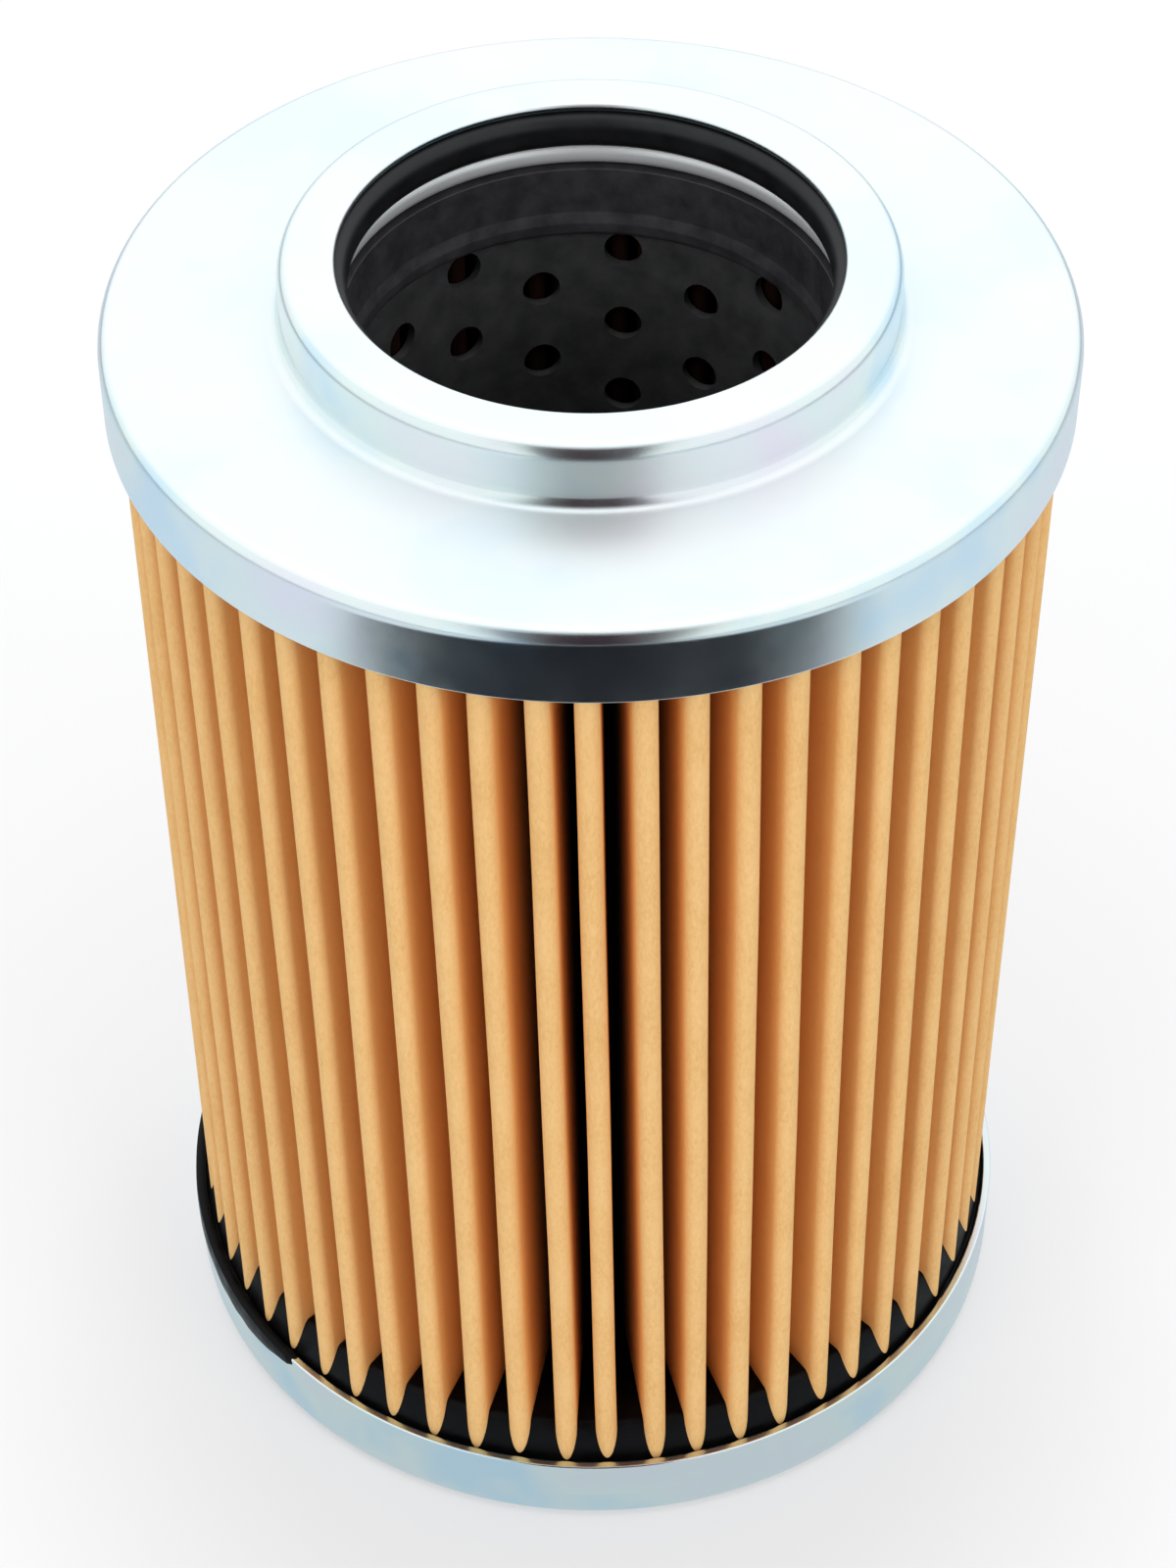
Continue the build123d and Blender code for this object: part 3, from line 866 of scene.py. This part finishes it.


# Studio: pale floor, white surround and broad soft lamps, in metres. The floor takes the object's
# shadow and turns to even white further out. A faint shade round the foot is painted on it too, in
# a tone that grows lighter with the distance from its middle point. The surround looks white, lights
# the object at the strength "surround" and is mirrored at the strength "gloss"
studio = {
    "floorSize": 6.0, "floorLevel": -0.0002, "floor": "#CDD4DA", "floorSeen": "#E9E9EA",
    "whiteFrom": 0.07, "whiteTo": 0.4, "evenness": 0.65,
    "footShade": [(0.03, "#E0E0E1"), (0.06, "#F6F6F7"), (0.16, "#FFFFFF")], "footShadeMiddle": (0, -0.025, 0),
    "surround": 0.62, "surroundTint": "#F3F8FC", "glossTint": "#F6FBFC", "gloss": 1.2,
}

# Boards that only reflections show, which paint reflections in: two dark ones in front paint the
# plating's dark bands, and a pale grey one paints the reflected shade of the floor round the foot
reflectionBoards = {
    "darkFloorReflection": {"size": (0.30, 0.62), "place": (0.012, -0.38, 0.001), "reflectedColour": "#14141C", "soft": 0.15},
    "darkCameraReflection": {"size": (0.36, 1.00), "place": (0, -0.42, 0.42), "reflectedColour": "#2A0A1C", "soft": 0.2,
                   "facing": (0, 0, 0.20)},
    "footShadeReflection": {"size": (0.13, 0.13), "place": (0, 0, 0.0005), "reflectedColour": "#D0DADF", "soft": 0.2},
}

lamps = {
    "overhead": {"place": (0, 0.05, 0.95), "side": 0.7, "power": 5.5},
    "frontLeft": {"place": (-0.55, -0.65, 0.6), "side": 0.5, "power": 3.0},
    "frontRight": {"place": (0.6, -0.6, 0.6), "side": 0.5, "power": 3.0},
}
lampTarget = (0, 0, 0.06)


def makeStage(name, width, depth, place, facing=None):
    form = bmesh.new()
    corners = [(-1, -1), (1, -1), (1, 1), (-1, 1)]
    form.faces.new([form.verts.new((x * width / 2, y * depth / 2, 0)) for x, y in corners])
    data = bpy.data.meshes.new(name)
    form.to_mesh(data)
    form.free()
    board = bpy.data.objects.new(name, data)
    bpy.context.scene.collection.objects.link(board)
    board.location = place
    if facing is not None:
        board.rotation_euler = (Vector(facing) - Vector(place)).to_track_quat("Z", "Y").to_euler()
    return board


def makeFloor():
    c = studio
    material, tree, spot = newMaterial("paleSweep")
    eye = addNode(tree, "ShaderNodeLightPath")
    paint = addNode(tree, "ShaderNodeMix", {
        0: eye.outputs["Is Camera Ray"], 6: linearColour(c["floor"]), 7: linearColour(c["floorSeen"])},
        data_type="RGBA")
    diffuse = addNode(tree, "ShaderNodeBsdfDiffuse", {"Color": paint.outputs[2]})
    far = addNode(tree, "ShaderNodeVectorMath", {0: spot}, operation="LENGTH")
    fade = addNode(tree, "ShaderNodeMapRange", {
        "Value": far.outputs["Value"], "From Min": c["whiteFrom"], "From Max": c["whiteTo"],
        "To Min": c["evenness"]}, interpolation_type="SMOOTHSTEP")
    # Painted shade: seen by the camera only, darker near the foot
    pool = addNode(tree, "ShaderNodeVectorMath", {0: spot, 1: c["footShadeMiddle"]}, operation="SUBTRACT")
    away = addNode(tree, "ShaderNodeVectorMath", {0: pool.outputs["Vector"]}, operation="LENGTH")
    footShade = addNode(tree, "ShaderNodeValToRGB", {"Fac": away.outputs["Value"]}, stops=c["footShade"])
    share = addNode(tree, "ShaderNodeMath", {
        0: fade.outputs["Result"], 1: eye.outputs["Is Camera Ray"]}, operation="MULTIPLY")
    white = addNode(tree, "ShaderNodeEmission", {"Color": footShade.outputs["Color"], "Strength": 1.0})
    shader = addNode(tree, "ShaderNodeMixShader", {
        0: share.outputs["Value"], 1: diffuse.outputs["BSDF"], 2: white.outputs["Emission"]})
    addNode(tree, "ShaderNodeOutputMaterial", {"Surface": shader.outputs["Shader"]})
    floor = makeStage("floor", c["floorSize"], c["floorSize"], (0, 0, c["floorLevel"]))
    floor.data.materials.append(material)


def makeReflectionBoard(name, size, place, reflectedColour, soft, facing=None):
    # "soft" is the share of the board over which it fades out towards its edges
    material, tree, spot = newMaterial(name + "Cloth")
    local = addNode(tree, "ShaderNodeSeparateXYZ", {"Vector": spot})
    near = []
    for axis, half in (("X", size[0] / 2), ("Y", size[1] / 2)):
        away = addNode(tree, "ShaderNodeMath", {0: local.outputs[axis]}, operation="ABSOLUTE")
        near.append(addNode(tree, "ShaderNodeMapRange", {
            "Value": away.outputs["Value"], "From Min": half, "From Max": half * (1 - soft)},
            interpolation_type="SMOOTHSTEP").outputs["Result"])
    share = addNode(tree, "ShaderNodeMath", {0: near[0], 1: near[1]}, operation="MULTIPLY")
    clear = addNode(tree, "ShaderNodeBsdfTransparent")
    # Painted reflection: the board glows in its colour, and only glossy rays see it
    glow = addNode(tree, "ShaderNodeEmission", {"Color": linearColour(reflectedColour), "Strength": 1.0})
    shader = addNode(tree, "ShaderNodeMixShader", {
        0: share.outputs["Value"], 1: clear.outputs["BSDF"], 2: glow.outputs["Emission"]})
    addNode(tree, "ShaderNodeOutputMaterial", {"Surface": shader.outputs["Shader"]})
    reflectionBoard = makeStage(name, *size, place, facing)
    reflectionBoard.data.materials.append(material)
    reflectionBoard.visible_camera = reflectionBoard.visible_diffuse = reflectionBoard.visible_shadow = False
    reflectionBoard.visible_transmission = reflectionBoard.visible_volume_scatter = False


def makeWorld():
    c = studio
    world = bpy.data.worlds.new("whiteSurround")
    bpy.context.scene.world = world
    world.use_nodes = True
    tree = world.node_tree
    tree.nodes.clear()
    eye = addNode(tree, "ShaderNodeLightPath")
    soft = addNode(tree, "ShaderNodeBackground", {
        "Color": linearColour(c["surroundTint"]), "Strength": c["surround"]})
    gloss = addNode(tree, "ShaderNodeBackground", {
        "Color": linearColour(c["glossTint"]), "Strength": c["gloss"]})
    white = addNode(tree, "ShaderNodeBackground", {"Color": (1.0, 1.0, 1.0, 1.0), "Strength": 1.0})
    mirrored = addNode(tree, "ShaderNodeMixShader", {
        0: eye.outputs["Is Glossy Ray"], 1: soft.outputs["Background"], 2: gloss.outputs["Background"]})
    seen = addNode(tree, "ShaderNodeMixShader", {
        0: eye.outputs["Is Camera Ray"], 1: mirrored.outputs["Shader"], 2: white.outputs["Background"]})
    addNode(tree, "ShaderNodeOutputWorld", {"Surface": seen.outputs["Shader"]})


def makeLamp(name, place, side, power):
    lamp = bpy.data.lights.new(name, "AREA")
    lamp.shape = "SQUARE"
    lamp.size = side
    lamp.energy = power
    lit = bpy.data.objects.new(name, lamp)
    lit.location = place
    lit.visible_glossy = False  # the white surround makes the reflections, so no lamp shows in them
    lit.rotation_euler = (Vector(lampTarget) - Vector(place)).to_track_quat("-Z", "Y").to_euler()
    bpy.context.scene.collection.objects.link(lit)


makeFloor()
for name, settings in reflectionBoards.items():
    makeReflectionBoard(name, **settings)
makeWorld()
for name, settings in lamps.items():
    makeLamp(name, **settings)
print("studio ready:", len(reflectionBoards), "flags,", len(lamps), "lamps")

# Place in metres, angles in degrees
cameraSetup = {
    "lens": 84.6, "sensor": 36, "place": (0, -0.2407, 0.2946), "down": 44.85, "roll": -0.23,
    "shift": (-0.0028, 0.015), "nearest": 0.01,
}
lens = bpy.data.cameras.new("camera")
lens.lens = cameraSetup["lens"]
lens.sensor_width = cameraSetup["sensor"]
lens.shift_x, lens.shift_y = cameraSetup["shift"]
lens.clip_start = cameraSetup["nearest"]
camera = bpy.data.objects.new("camera", lens)
bpy.context.scene.collection.objects.link(camera)
camera.matrix_world = (Matrix.Translation(cameraSetup["place"])
                       @ Matrix.Rotation(radians(90 - cameraSetup["down"]), 4, "X")
                       @ Matrix.Rotation(radians(cameraSetup["roll"]), 4, "Z"))
bpy.context.scene.camera = camera
bpy.context.scene.view_settings.view_transform = "Standard"
